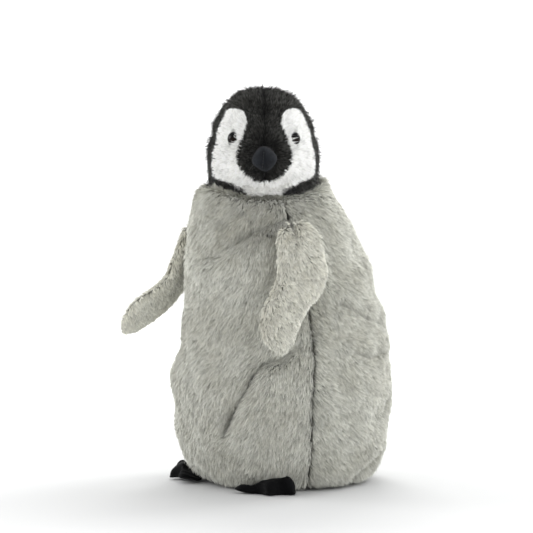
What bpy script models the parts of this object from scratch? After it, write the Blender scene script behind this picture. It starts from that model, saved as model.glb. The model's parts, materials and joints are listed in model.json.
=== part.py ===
"""Plush penguin chick that sits upright on a flat base.

Every piece is a cut of fabric, a filling or a plastic part of its own. The frame is +Z up,
with the origin in the middle of the flat base, the belly towards -Y and the penguin's own
left towards +X. Sizes are in metres.
"""

import math

import bmesh
import bpy
from mathutils import Matrix, Vector

# ---- Body: a rounded cone that leans forward to the neck ----
NECK_HEIGHT = 0.283
NECK_RADIUS = 0.050
NECK_FORWARD = 0.028
BELLY_HEIGHT = 0.093
BODY_WIDTH = 0.208
BODY_DEPTH = 0.2165
BASE_INSET = 0.030
LEAN_START = 0.130
SHOULDER_TAPER = 0.5
SHOULDER_FALL = 1.25
SHOULDER_ROUND = 7
LEAN_CURVE = 1.7
SIDE_SEAM = math.radians(64)
BODY_ROWS = 15
BASE_ROWS = 6
ROW_CROWDING = 0.85

# ---- Fabric, seams and fillings ----
FABRIC = 0.005
SEAM_GAP = 0.0004
FILLING_GAP = 0.0014
POUCH_HEIGHT = 0.034
POUCH_FLARE = 0.004

# ---- Head: a dome with a short muzzle, turned about the neck ----
HEAD_HEIGHT = 0.0964
HEAD_WIDTH = 0.111
HEAD_CHEEK_HEIGHT = 0.0290
HEAD_OPENING = 0.047
DOME_SQUARENESS = 2.3
FILLING_ROWS = (0.012, 0.022, 0.032, 0.042, 0.052, 0.062, 0.072, 0.080, 0.086)
HEAD_TURN = math.radians(50)
NECK_GAP = 0.0006
CROWN_HEIGHT = 0.0763
CROWN_SEAM = math.radians(80)
MUZZLE_BULGE = 0.0215
MUZZLE_MIDDLE = 0.0365
MUZZLE_TALL = 0.0290
MUZZLE_SPREAD = 0.45
MUZZLE_HEIGHT = 0.0315
MUZZLE_RADIUS = 0.0250
STRIPE_WIDTH = 0.031
POLE_RADIUS = 0.0014

# ---- Face parts ----
EYE_RADIUS = 0.006
EYE_OFFSET = 0.0306
EYE_HEIGHT = 0.0475
EYE_SUNK = 0.0026
EYE_RIM = 0.001
EYE_DOME = 0.0038
SHANK_RADIUS = 0.002
SHANK_LENGTH = 0.0095
WASHER_RADIUS = 0.008
WASHER_THICKNESS = 0.0018
WASHER_GAP = 0.0016
CUTTER_REACH = 0.02
FIT = 0.0004
BEAK_RADIUS = 0.012
BEAK_LENGTH = 0.0135
BEAK_DROOP = 0.0016
BEAK_FABRIC = 0.0015
BEAK_SUNK = 0.001
BEAK_POINT = 0.0009

# ---- Flippers: bent paddles that hang from the side seams ----
FLIPPER_HINGE_HEIGHT = 0.2576
FLIPPER_STANDOFF = 0.006
FLIPPER_LENGTH = 0.1345
FLIPPER_WIDTH = 0.057
FLIPPER_THICKNESS = 0.017
FLIPPER_EDGE = 0.0018
FLIPPER_CORE_WIDTH = 0.55
FLIPPER_CORE_THICKNESS = 0.62
FLIPPER_HANG = math.radians(14)
FLIPPER_ELBOW = 0.50
LEFT_BEND = math.radians(4)
RIGHT_BEND = math.radians(32)
RIGHT_TWIST = math.radians(26)

# ---- Feet: webbed, three toes each, splayed outward ----
FOOT_SPLAY = math.radians(41)
FOOT_HEEL = 0.0095
FOOT_HEEL_WIDTH = 0.042
FOOT_MIDDLE = 0.013
TOE_ROOT = 0.0155
TOE_SLOPE_END = 0.009
INSTEP = 0.014
FOOT_HEIGHT = 0.0165
TOE_HEIGHT = 0.0095
TOE_LENGTH = 0.0375
TOE_RADIUS = 0.0065
TOE_SPREAD = math.radians(33)
INNER_TOE_SPREAD = math.radians(48)
INNER_TOE_EXTRA = 0.0025
OUTER_TOE_LESS = 0.002
WEB_LENGTH = 0.033
SOLE = 0.0025
FOOT_CORE_WIDTH = 0.024
FOOT_CORE_LENGTH = 0.012
FOOT_SKIN = 0.003
FOOT_CLEARANCE = 0.0015

BELLY_RADIUS = (BODY_WIDTH + BODY_DEPTH) / 4
HEAD_FLOOR = NECK_HEIGHT + NECK_GAP


def material(name, color, roughness):
    """A plain surface in the colour of one fabric or plastic."""
    made = bpy.data.materials.new(name)
    made.use_nodes = True
    shader = made.node_tree.nodes["Principled BSDF"]
    shader.inputs["Base Color"].default_value = (*color, 1)
    shader.inputs["Roughness"].default_value = roughness
    shader.inputs["Metallic"].default_value = 0.0
    return made


def through(stations, x):
    """A smooth curve through (x, value) stations that never overshoots them."""
    xs = [s[0] for s in stations]
    ys = [s[1] for s in stations]
    if x <= xs[0]:
        return ys[0]
    if x >= xs[-1]:
        return ys[-1]
    steps = [(ys[k + 1] - ys[k]) / (xs[k + 1] - xs[k]) for k in range(len(xs) - 1)]
    slopes = [steps[0]]
    for before, after in zip(steps, steps[1:]):
        rising = before * after > 0
        slopes.append(2 * before * after / (before + after) if rising else 0.0)
    slopes.append(steps[-1])
    k = max(i for i in range(len(xs) - 1) if xs[i] <= x)
    width = xs[k + 1] - xs[k]
    t = (x - xs[k]) / width
    return (
        ys[k] * (1 + 2 * t) * (1 - t) ** 2
        + slopes[k] * width * t * (1 - t) ** 2
        + ys[k + 1] * t * t * (3 - 2 * t)
        - slopes[k + 1] * width * t * t * (1 - t)
    )


def spread(low, high, count):
    """Evenly spaced values from low to high."""
    return [low + (high - low) * k / (count - 1) for k in range(count)]


# ---- Meshes ----


def add_object(name, bm, look, parent=None):
    """Closes up a mesh, faces it outward and makes it an object under its parent."""
    bmesh.ops.triangulate(bm, faces=[f for f in bm.faces if len(f.verts) > 4])
    bmesh.ops.recalc_face_normals(bm, faces=bm.faces)
    mesh = bpy.data.meshes.new(name)
    bm.to_mesh(mesh)
    bm.free()
    mesh.shade_smooth()
    mesh.set_sharp_from_angle(angle=math.radians(40))
    made = bpy.data.objects.new(name, mesh)
    bpy.context.collection.objects.link(made)
    made.parent = parent
    if look:
        mesh.materials.append(look)
    return made


def shell(name, outer, inner, look, parent=None):
    """A thin closed body between an outer and an inner grid of points."""
    bm = bmesh.new()
    sides = [[[bm.verts.new(p) for p in row] for row in grid] for grid in (outer, inner)]
    rows, columns = len(outer), len(outer[0])
    for grid in sides:
        for i in range(rows - 1):
            for j in range(columns - 1):
                corners = (grid[i][j], grid[i][j + 1], grid[i + 1][j + 1], grid[i + 1][j])
                bm.faces.new(corners)
    rim = [(0, j) for j in range(columns)]
    rim += [(i, columns - 1) for i in range(1, rows)]
    rim += [(rows - 1, j) for j in range(columns - 2, -1, -1)]
    rim += [(i, 0) for i in range(rows - 2, 0, -1)]
    for here, there in zip(rim, rim[1:] + rim[:1]):
        # Neighbouring panels split their twisted side walls the same way, so the seam stays open.
        low, high = sorted((here, there))
        out_low, in_low = (grid[low[0]][low[1]] for grid in sides)
        out_high, in_high = (grid[high[0]][high[1]] for grid in sides)
        bm.faces.new((out_low, out_high, in_high))
        bm.faces.new((out_low, in_high, in_low))
    return add_object(name, bm, look, parent)


def stack(name, rings, look, parent=None):
    """A solid from closed rings of points, one above the other, capped at both ends."""
    bm = bmesh.new()
    loops = [[bm.verts.new(p) for p in ring] for ring in rings]
    count = len(rings[0])
    for low, high in zip(loops, loops[1:]):
        for j in range(count):
            k = (j + 1) % count
            bm.faces.new((low[j], low[k], high[k], high[j]))
    bm.faces.new(loops[0])
    bm.faces.new(loops[-1])
    return add_object(name, bm, look, parent)


def turned(name, profile, segments, look, parent, frame):
    """A solid of revolution about the frame's Z, from (radius, height) points."""
    rings = []
    for radius, height in profile:
        ring = []
        for k in range(segments):
            angle = 2 * math.pi * k / segments
            ring.append(frame @ Vector((radius * math.cos(angle), radius * math.sin(angle), height)))
        rings.append(ring)
    return stack(name, rings, look, parent)


def cut(target, cutter):
    """Takes the cutter's shape out of the target."""
    cutter.hide_render = True
    cutter.display_type = "WIRE"
    cutter.hide_viewport = False
    bite = target.modifiers.new("cut_" + cutter.name, "BOOLEAN")
    bite.operation = "DIFFERENCE"
    bite.solver = "EXACT"
    bite.object = cutter


# ---- Body ----


def body_radius(z):
    """Mean outer radius of the body at a height."""
    if z <= BELLY_HEIGHT:
        rise = 1 - z / BELLY_HEIGHT
        return BELLY_RADIUS - BASE_INSET * (1 - math.sqrt(max(0.0, 1 - rise * rise)))
    t = min(1.0, (z - BELLY_HEIGHT) / (NECK_HEIGHT - BELLY_HEIGHT))
    taper = 1 - SHOULDER_TAPER * t**SHOULDER_FALL
    shoulder = math.sqrt(max(0.0, 1 - t**SHOULDER_ROUND))
    return NECK_RADIUS + (BELLY_RADIUS - NECK_RADIUS) * taper * shoulder


def body_centre(z):
    """How far the middle of the body lies towards the back at a height."""
    rise = max(0.0, (z - LEAN_START) / (NECK_HEIGHT - LEAN_START))
    return -NECK_FORWARD * min(1.0, rise) ** LEAN_CURVE


def body_rows(inset):
    """(radius, height) points from the base seam up to the neck, moved inward by inset."""
    turns = spread(0, math.pi / 2, BASE_ROWS)
    heights = [BELLY_HEIGHT * (1 - math.cos(turn)) for turn in turns]
    above = BODY_ROWS - len(heights)
    for k in range(1, above + 1):
        rise = math.sin(math.pi / 2 * k / above) ** ROW_CROWDING
        heights.append(BELLY_HEIGHT + (NECK_HEIGHT - BELLY_HEIGHT) * rise)
    rows = [(body_radius(z), z) for z in heights]
    moved = []
    for k, (radius, z) in enumerate(rows):
        if k == 0:
            normal = Vector((0, -1))
        elif k == len(rows) - 1:
            normal = Vector((0, 1))
        else:
            along = Vector(rows[k + 1]) - Vector(rows[k - 1])
            normal = Vector((along.y, -along.x)).normalized()
        moved.append((radius - inset * normal.x, z - inset * normal.y))
    return moved


def on_body(angle, radius, z, centre_z=None):
    """A point at an angle from the front (positive towards the penguin's left)."""
    wide = BODY_WIDTH / 2 / BELLY_RADIUS
    deep = BODY_DEPTH / 2 / BELLY_RADIUS
    middle = body_centre(z if centre_z is None else centre_z)
    return Vector((radius * wide * math.sin(angle), middle - radius * deep * math.cos(angle), z))


def body_panel(name, start, end, columns, look):
    """One fabric panel of the body between two vertical seams."""
    outer, inner = [], []
    for (r_out, z_out), (r_in, z_in) in zip(body_rows(0), body_rows(FABRIC)):
        trim = SEAM_GAP / 2 / r_in
        angles = spread(start + trim, end - trim, columns)
        outer.append([on_body(a, r_out, z_out) for a in angles])
        inner.append([on_body(a, r_in, z_in, z_out) for a in angles])
    return shell(name, outer, inner, look)


def ring_on_body(radius, z, centre_z, segments=32):
    """A closed ring round the body, centred as the body is at a height."""
    return [on_body(2 * math.pi * k / segments, radius, z, centre_z) for k in range(segments)]


def make_body(fur, filling, pouch):
    """Three fabric panels on a round base, over a pouch of pellets and the filling."""
    body_panel("belly_panel", -SIDE_SEAM, SIDE_SEAM, 13, fur)
    body_panel("back_panel_left", SIDE_SEAM, math.pi, 12, fur)
    body_panel("back_panel_right", -math.pi, -SIDE_SEAM, 12, fur)
    edge = BELLY_RADIUS - BASE_INSET - SEAM_GAP
    stack("base_panel", [ring_on_body(edge, z, 0, 40) for z in (0.0, FABRIC)], fur)
    inset = FABRIC + FILLING_GAP
    floor = FABRIC + FILLING_GAP / 2
    top = floor + POUCH_HEIGHT
    levels = spread(floor, top, 4)
    widths = []
    for k, z in enumerate(levels):
        widths.append(min(body_radius(z) - inset - POUCH_FLARE, edge + k * POUCH_FLARE))
    rings = [ring_on_body(r, z, 0) for r, z in zip(widths, levels)]
    stack("pellet_pouch", rings, pouch)
    rings = []
    for radius, z in body_rows(inset):
        if z > top + FILLING_GAP:
            rings.append(ring_on_body(radius, z, z))
    stack("body_filling", rings, filling)


# ---- Head, in the frame of its pivot: Z = 0 is the neck plane, the face is towards -Y ----


def dome_radius(z):
    """Radius of the head without its muzzle, z above the neck plane."""
    widest = HEAD_WIDTH / 2
    if z < HEAD_CHEEK_HEIGHT:
        fall = (HEAD_CHEEK_HEIGHT - z) / HEAD_CHEEK_HEIGHT
        return HEAD_OPENING + (widest - HEAD_OPENING) * math.sqrt(max(0.0, 1 - fall * fall))
    rise = (z - HEAD_CHEEK_HEIGHT) / (HEAD_HEIGHT - HEAD_CHEEK_HEIGHT)
    return widest * max(0.0, 1 - rise**DOME_SQUARENESS) ** (1 / DOME_SQUARENESS)


def head_radius(angle, z):
    """Radius of the head at an angle from the face's middle."""
    upright = math.exp(-(((z - MUZZLE_MIDDLE) / MUZZLE_TALL) ** 2))
    around = math.exp(-((angle / MUZZLE_SPREAD) ** 2))
    return dome_radius(z) + MUZZLE_BULGE * upright * around


def on_head(angle, z, inset=0.0):
    """A point of the head's surface, moved inward along the surface's normal."""

    def place(a, h):
        r = head_radius(a, h)
        return Vector((r * math.sin(a), -r * math.cos(a), h))

    here = place(angle, z)
    if inset == 0.0:
        return here
    if z <= 0:
        return here + Vector((0, 0, inset))
    step = min(0.001, HEAD_HEIGHT - z, z)
    up = place(angle, z + step * 0.9) - place(angle, z - step * 0.9)
    across = place(angle + 0.01, z) - place(angle - 0.01, z)
    return here - inset * across.cross(up).normalized()


def angle_at(x, z):
    """The angle at which the head's surface is x away from the middle of the face."""
    low, high = 0.0, math.pi / 2
    for _ in range(40):
        middle = (low + high) / 2
        if head_radius(middle, z) * math.sin(middle) < x:
            low = middle
        else:
            high = middle
    return low


def stripe_edge(z, clear):
    """Half width of the dark stripe and muzzle, widened by clear."""
    below = z - MUZZLE_HEIGHT
    reach = MUZZLE_RADIUS + clear
    if below < 0:
        return math.sqrt(max(0.0, reach * reach - below * below))
    stations = (
        (0.0, MUZZLE_RADIUS),
        (0.42, (MUZZLE_RADIUS + STRIPE_WIDTH / 2) / 2 + 0.001),
        (0.68, STRIPE_WIDTH / 2),
        (0.90, STRIPE_WIDTH / 2 + 0.003),
        (1.0, STRIPE_WIDTH / 2 + 0.010),
    )
    return through(stations, below / (CROWN_HEIGHT - MUZZLE_HEIGHT)) + clear


def cheek_edge(z):
    """Half width of the face out to where the white cheek ends."""
    half = HEAD_WIDTH / 2
    stations = (
        (0.0, half - 0.0365),
        (0.07, half - 0.0250),
        (0.12, half - 0.0120),
        (0.18, half - 0.0070),
        (0.35, half - 0.0058),
        (0.60, half - 0.0100),
        (0.85, half - 0.0160),
        (1.0, half - 0.0190),
    )
    return through(stations, z / CROWN_HEIGHT)


def head_panel(name, side, heights, start, end, columns, look, parent):
    """One fabric panel of the head. start and end give its edges, as angles, at a height."""
    outer, inner = [], []
    for z in heights:
        angles = [side * a for a in spread(start(z), end(z), columns)]
        outer.append([on_head(a, z) for a in angles])
        inner.append([on_head(a, z, FABRIC) for a in angles])
    return shell(name, outer, inner, look, parent)


def trim(z):
    """Half a seam gap as an angle at a height of the head."""
    return SEAM_GAP / 2 / max(dome_radius(z), POLE_RADIUS)


def pole_height():
    """Where the dome has closed to its pole radius."""
    low, high = HEAD_CHEEK_HEIGHT, HEAD_HEIGHT
    for _ in range(40):
        middle = (low + high) / 2
        if dome_radius(middle) > POLE_RADIUS:
            low = middle
        else:
            high = middle
    return low


def make_head(side, pivot, black, white):
    """The five panels of one half of the head."""
    tag = "left" if side > 0 else "right"
    face_top = CROWN_HEIGHT - SEAM_GAP
    chin = MUZZLE_HEIGHT - MUZZLE_RADIUS
    under = chin - SEAM_GAP
    lowest = chin + 0.0002
    face_rows = [0.0, 0.003, under, lowest, chin + 0.0015, chin + 0.005, chin + 0.011]
    face_rows += spread(MUZZLE_HEIGHT - 0.006, face_top, 10)
    head_panel(
        "face_stripe_" + tag,
        side,
        [z for z in face_rows if z >= lowest],
        trim,
        lambda z: angle_at(stripe_edge(z, 0), z),
        6,
        black,
        pivot,
    )
    cheek = head_panel(
        "cheek_" + tag,
        side,
        face_rows,
        lambda z: max(trim(z), angle_at(stripe_edge(z, SEAM_GAP), z) if z > under else 0),
        lambda z: angle_at(cheek_edge(z), z) - trim(z),
        8,
        white,
        pivot,
    )
    head_panel(
        "jowl_" + tag,
        side,
        face_rows,
        lambda z: angle_at(cheek_edge(z), z) + trim(z),
        lambda z: CROWN_SEAM - trim(z),
        5,
        black,
        pivot,
    )
    top = pole_height()
    crown_rows = [CROWN_HEIGHT + (top - CROWN_HEIGHT) * math.sin(a) for a in spread(0, math.pi / 2, 6)]
    head_panel(
        "crown_" + tag, side, crown_rows, trim, lambda z: CROWN_SEAM - trim(z), 8, black, pivot
    )
    back_rows = [0.0, 0.006, 0.016] + [
        0.028 + (top - 0.028) * math.sin(a) for a in spread(0, math.pi / 2, 9)
    ]
    head_panel(
        "head_back_" + tag,
        side,
        back_rows,
        lambda z: CROWN_SEAM + trim(z),
        lambda z: math.pi - trim(z),
        8,
        black,
        pivot,
    )
    return cheek


def make_head_filling(filling, pivot):
    """One soft core inside all the head's panels."""
    rings = []
    inset = FABRIC + FILLING_GAP
    for z in FILLING_ROWS:
        ring = []
        for k in range(28):
            angle = -math.pi + 2 * math.pi * k / 28
            point = on_head(angle, z, inset)
            ring.append(Vector((point.x, point.y, max(point.z, inset))))
        rings.append(ring)
    return stack("head_filling", rings, filling, pivot)


def surface_frame(side, x, z):
    """A frame on the head's surface with its Z pointing out of the face."""
    angle = side * angle_at(x, z)
    origin = on_head(angle, z)
    out = (origin - on_head(angle, z, 0.001)).normalized()
    right = Vector((0, 0, 1)).cross(out).normalized()
    up = out.cross(right)
    turn = Matrix((right, up, out)).transposed().to_4x4()
    return Matrix.Translation(origin) @ turn


def make_eye(side, pivot, cheek, head_filling, gloss, plastic):
    """A safety eye: a dome on a shank, held by a washer behind the fabric."""
    tag = "left" if side > 0 else "right"
    frame = surface_frame(side, EYE_OFFSET, EYE_HEIGHT)
    seat = -EYE_SUNK
    dome = []
    for k in range(1, 6):
        lift = math.pi / 2 * k / 6
        dome.append((EYE_RADIUS * math.cos(lift), seat + EYE_RIM + EYE_DOME * math.sin(lift)))
    tail = seat - SHANK_LENGTH
    profile = [(SHANK_RADIUS, tail), (SHANK_RADIUS, seat), (EYE_RADIUS, seat)]
    profile += [(EYE_RADIUS, seat + EYE_RIM)] + dome
    turned("eye_" + tag, profile, 16, gloss, pivot, frame)
    near = -FABRIC - WASHER_GAP
    washer = turned(
        "eye_washer_" + tag,
        [(WASHER_RADIUS, near - WASHER_THICKNESS), (WASHER_RADIUS, near)],
        16,
        plastic,
        pivot,
        frame,
    )
    bore = SHANK_RADIUS + FIT
    hole = turned("hole_" + tag, [(bore, -CUTTER_REACH), (bore, CUTTER_REACH / 2)], 16, None, pivot, frame)
    cut(washer, hole)
    cut(cheek, hole)
    wide = EYE_RADIUS + FIT
    socket = turned("socket_" + tag, [(wide, seat - FIT), (wide, CUTTER_REACH / 2)], 16, None, pivot, frame)
    cut(cheek, socket)
    wide = WASHER_RADIUS + 2 * FIT
    deep = tail - 2 * FIT
    pocket = turned("pocket_" + tag, [(wide, deep), (wide, CUTTER_REACH / 2)], 16, None, pivot, frame)
    cut(head_filling, pocket)


def make_beak(suede, filling, pivot):
    """A short blunt cone of two fabric halves, sewn down the middle, on a soft core."""
    front = -head_radius(0, MUZZLE_HEIGHT) - BEAK_SUNK
    centre = Vector((0, front, MUZZLE_HEIGHT - BEAK_SUNK))

    def place(share, angle, inset):
        radius = BEAK_RADIUS * (1 - share**1.7) ** 0.7 - inset
        reach = (BEAK_LENGTH - inset) * share
        radius = max(radius, BEAK_POINT)
        drop = BEAK_DROOP * share * share
        return centre + Vector((radius * math.sin(angle), -reach, radius * math.cos(angle) - drop))

    shares = (0.0, 0.25, 0.5, 0.7, 0.86, 0.96, 0.995)
    for side in (1, -1):
        outer, inner = [], []
        for share in shares:
            angles = [side * angle for angle in spread(0, math.pi, 9)]
            outer.append([place(share, a, 0) for a in angles])
            inner.append([place(share, a, BEAK_FABRIC) for a in angles])
        for grid in (outer, inner):
            for row in grid:
                for point in row:
                    point.x = side * max(side * point.x, SEAM_GAP / 2)
        shell("beak_left" if side > 0 else "beak_right", outer, inner, suede, pivot)
    rings = []
    inset = BEAK_FABRIC + FIT
    for share in shares[:-2]:
        rings.append([place(share, 2 * math.pi * k / 16, inset) for k in range(16)])
    stack("beak_filling", rings, filling, pivot)


# ---- Flippers, in the frame of their hinge: X out from the body, Z up ----


def flipper_curves(bend):
    """The flipper's middle line as (out, down, lean) points along its length."""
    path = []
    out = down = 0.0
    count = 13
    for k in range(count):
        share = k / (count - 1)
        path.append((share, out, down, flipper_lean(share, bend)))
        lean = flipper_lean((k + 0.5) / (count - 1), bend)
        out += math.sin(lean) * FLIPPER_LENGTH / (count - 1)
        down += math.cos(lean) * FLIPPER_LENGTH / (count - 1)
    return path


def past_elbow(share):
    """0 above the elbow, 1 below it, and a soft step at it."""
    return through(((FLIPPER_ELBOW - 0.1, 0), (FLIPPER_ELBOW + 0.2, 1)), share)


def flipper_lean(share, bend):
    """The lean from straight down, which grows by bend at the elbow."""
    return FLIPPER_HANG + bend * past_elbow(share)


def flipper_section(share):
    """(offset to the back, half width, half thickness) at a share of the length."""
    offset = (
        (0.0, 0.07),
        (0.40, 0.085),
        (0.53, -0.03),
        (0.70, -0.27),
        (0.87, -0.375),
        (1.0, -0.375),
    )
    width = (
        (0.0, 0.20),
        (0.07, 0.62),
        (0.18, 0.87),
        (0.40, 0.95),
        (0.53, 1.0),
        (0.70, 0.88),
        (0.87, 0.66),
        (0.96, 0.38),
        (1.0, 0.12),
    )
    thick = ((0.0, 0.55), (0.15, 0.9), (0.5, 1.0), (0.85, 0.8), (1.0, 0.4))
    return (
        through(offset, share) * FLIPPER_WIDTH,
        through(width, share) * FLIPPER_WIDTH / 2,
        through(thick, share) * FLIPPER_THICKNESS / 2,
    )


def make_flipper(side, fur, filling):
    """Two skins sewn edge to edge round a thin filling, hung on the side seam."""
    tag = "left" if side > 0 else "right"
    angle = side * SIDE_SEAM
    height = FLIPPER_HINGE_HEIGHT
    hinge = on_body(angle, body_radius(height) + FLIPPER_STANDOFF, height)
    pivot = bpy.data.objects.new("flipper_pivot_" + tag, None)
    bpy.context.collection.objects.link(pivot)
    pivot.location = hinge
    pivot.rotation_euler = (0, 0, angle - math.pi / 2)
    bend = LEFT_BEND if side > 0 else RIGHT_BEND
    twist = 0.0 if side > 0 else RIGHT_TWIST

    def place(share, out, down, lean, across, lift):
        """A point at a share of the half width, lifted off the flipper's middle sheet."""
        offset, half, _ = flipper_section(share)
        turn = twist * past_elbow(share)
        back = offset + across * half * math.cos(turn) + lift * math.sin(turn)
        away = FLIPPER_THICKNESS / 2 + lift * math.cos(turn) - across * half * math.sin(turn)
        x = out + away * math.cos(lean)
        z = -down + away * math.sin(lean)
        return Vector((x, side * back, min(z, 0.0)))

    shares_across = [math.sin(a) for a in spread(-math.pi / 2, math.pi / 2, 9)]
    edge = FLIPPER_EDGE
    for name, face in (("outer", 1), ("inner", -1)):
        top, under = [], []
        for share, out, down, lean in flipper_curves(bend):
            thick = flipper_section(share)[2]
            top_row, under_row = [], []
            for across in shares_across:
                lift = edge + (thick - edge) * math.sqrt(max(0.0, 1 - across * across))
                low = max(SEAM_GAP / 2, lift - FABRIC)
                top_row.append(place(share, out, down, lean, across, face * lift))
                under_row.append(place(share, out, down, lean, across, face * low))
            top.append(top_row)
            under.append(under_row)
        shell(f"flipper_{name}_{tag}", top, under, fur, pivot)
    rings = []
    for share, out, down, lean in flipper_curves(bend)[2:11]:
        thick = flipper_section(share)[2] - FABRIC
        ring = []
        for k in range(12):
            turn = 2 * math.pi * k / 12
            across = FLIPPER_CORE_WIDTH * math.cos(turn)
            lift = FLIPPER_CORE_THICKNESS * thick * math.sin(turn)
            ring.append(place(share, out, down, lean, across, lift))
        rings.append(ring)
    stack("flipper_filling_" + tag, rings, filling, pivot)


# ---- Feet, in the frame of the foot: X across, Y out from the body's middle, Z up ----


def foot_outline():
    """Half-round toes on a fan, the inner one spread widest, with a web point between them."""
    heel = BELLY_RADIUS - BASE_INSET + FOOT_HEEL
    centre = heel - TOE_ROOT
    points = [(FOOT_HEEL_WIDTH / 2, heel)]
    toes = (
        (INNER_TOE_SPREAD, TOE_LENGTH + INNER_TOE_EXTRA),
        (0.0, TOE_LENGTH),
        (-TOE_SPREAD, TOE_LENGTH - OUTER_TOE_LESS),
    )
    for k, (fan, length) in enumerate(toes):
        tip = (length * math.sin(fan), centre + length * math.cos(fan))
        for turn in spread(math.pi / 2, -math.pi / 2, 5):
            angle = fan + turn
            points.append((tip[0] + TOE_RADIUS * math.sin(angle), tip[1] + TOE_RADIUS * math.cos(angle)))
        if k < 2:
            angle = (fan + toes[k + 1][0]) / 2
            points.append((WEB_LENGTH * math.sin(angle), centre + WEB_LENGTH * math.cos(angle)))
    points.append((-FOOT_HEEL_WIDTH / 2, heel))
    return points, heel


def make_foot(side, felt, filling):
    """A flat sole and a domed upper over a soft core. The right foot mirrors the left one."""
    tag = "left" if side > 0 else "right"
    turn = Matrix.Rotation(-math.pi + side * FOOT_SPLAY, 4, "Z")
    outline, heel = foot_outline()
    core = heel + FOOT_MIDDLE
    reach = heel + TOE_LENGTH - TOE_SLOPE_END

    def top(y):
        """The upper's height: below the body's rounded edge, high at the instep, low at the toes."""
        out = min(1.0, (y - (BELLY_RADIUS - BASE_INSET)) / BASE_INSET)
        under_body = BELLY_HEIGHT * (1 - math.sqrt(1 - out * out)) - FOOT_CLEARANCE
        return min(under_body, through(((heel + INSTEP, FOOT_HEIGHT), (reach, TOE_HEIGHT)), y))

    def ring(share, height):
        """The outline drawn in towards the core, at a height that may depend on y."""
        points = []
        for x, y in outline:
            u, v = side * x * share, core + (y - core) * share
            points.append(turn @ Vector((u, v, height(v) if callable(height) else height)))
        return points

    def oval(clear, z):
        """A round opening with as many points as the outline, open towards the heel."""
        points = []
        for angle in spread(-math.pi / 4, math.pi * 5 / 4, len(outline)):
            u = side * (FOOT_CORE_WIDTH / 2 - clear) * math.cos(angle)
            v = core + (FOOT_CORE_LENGTH / 2 - clear) * math.sin(angle)
            points.append(turn @ Vector((u, v, z)))
        return points

    stack("foot_sole_" + tag, [ring(1, 0.0), ring(1, SOLE)], felt)
    low = SOLE + SEAM_GAP
    roof = top(core - FOOT_CORE_LENGTH / 2) - FOOT_SKIN
    rings = [oval(0, roof), oval(0, low), ring(1, low)]
    rings += [ring(0.92, lambda y: low + (top(y) - low) * 0.5), ring(0.74, top)]
    stack("foot_upper_" + tag, rings, felt)
    stack("foot_filling_" + tag, [oval(FIT, low), oval(FIT, roof - FIT)], filling)


def make_penguin():
    """Clears the scene, then makes every piece of the toy."""
    for old in list(bpy.data.objects):
        bpy.data.objects.remove(old, do_unlink=True)
    grey = material("grey_fur", (0.42, 0.42, 0.36), 0.95)
    black = material("black_fur", (0.02, 0.02, 0.02), 0.9)
    white = material("white_fur", (0.85, 0.85, 0.82), 0.95)
    suede = material("beak_suede", (0.03, 0.034, 0.04), 0.8)
    felt = material("foot_felt", (0.012, 0.012, 0.014), 0.85)
    filling = material("fibre_filling", (0.9, 0.9, 0.88), 1.0)
    pouch = material("pouch_cloth", (0.75, 0.73, 0.68), 0.9)
    gloss = material("eye_gloss", (0.01, 0.008, 0.007), 0.06)
    plastic = material("washer_plastic", (0.8, 0.8, 0.8), 0.4)

    make_body(grey, filling, pouch)
    pivot = bpy.data.objects.new("head_pivot", None)
    bpy.context.collection.objects.link(pivot)
    pivot.location = (0, -NECK_FORWARD, HEAD_FLOOR)
    pivot.rotation_euler = (0, 0, HEAD_TURN)
    head_filling = make_head_filling(filling, pivot)
    for side in (1, -1):
        cheek = make_head(side, pivot, black, white)
        make_eye(side, pivot, cheek, head_filling, gloss, plastic)
        make_flipper(side, grey, filling)
        make_foot(side, felt, filling)
    make_beak(suede, filling, pivot)


make_penguin()
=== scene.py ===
"""A plush emperor penguin chick, 380 mm tall: stuffed covers with a long combed pile, a black
and white head that turns, two hinged flippers, glossy eyes, a suede beak and felt feet."""

import json
import math

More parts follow.
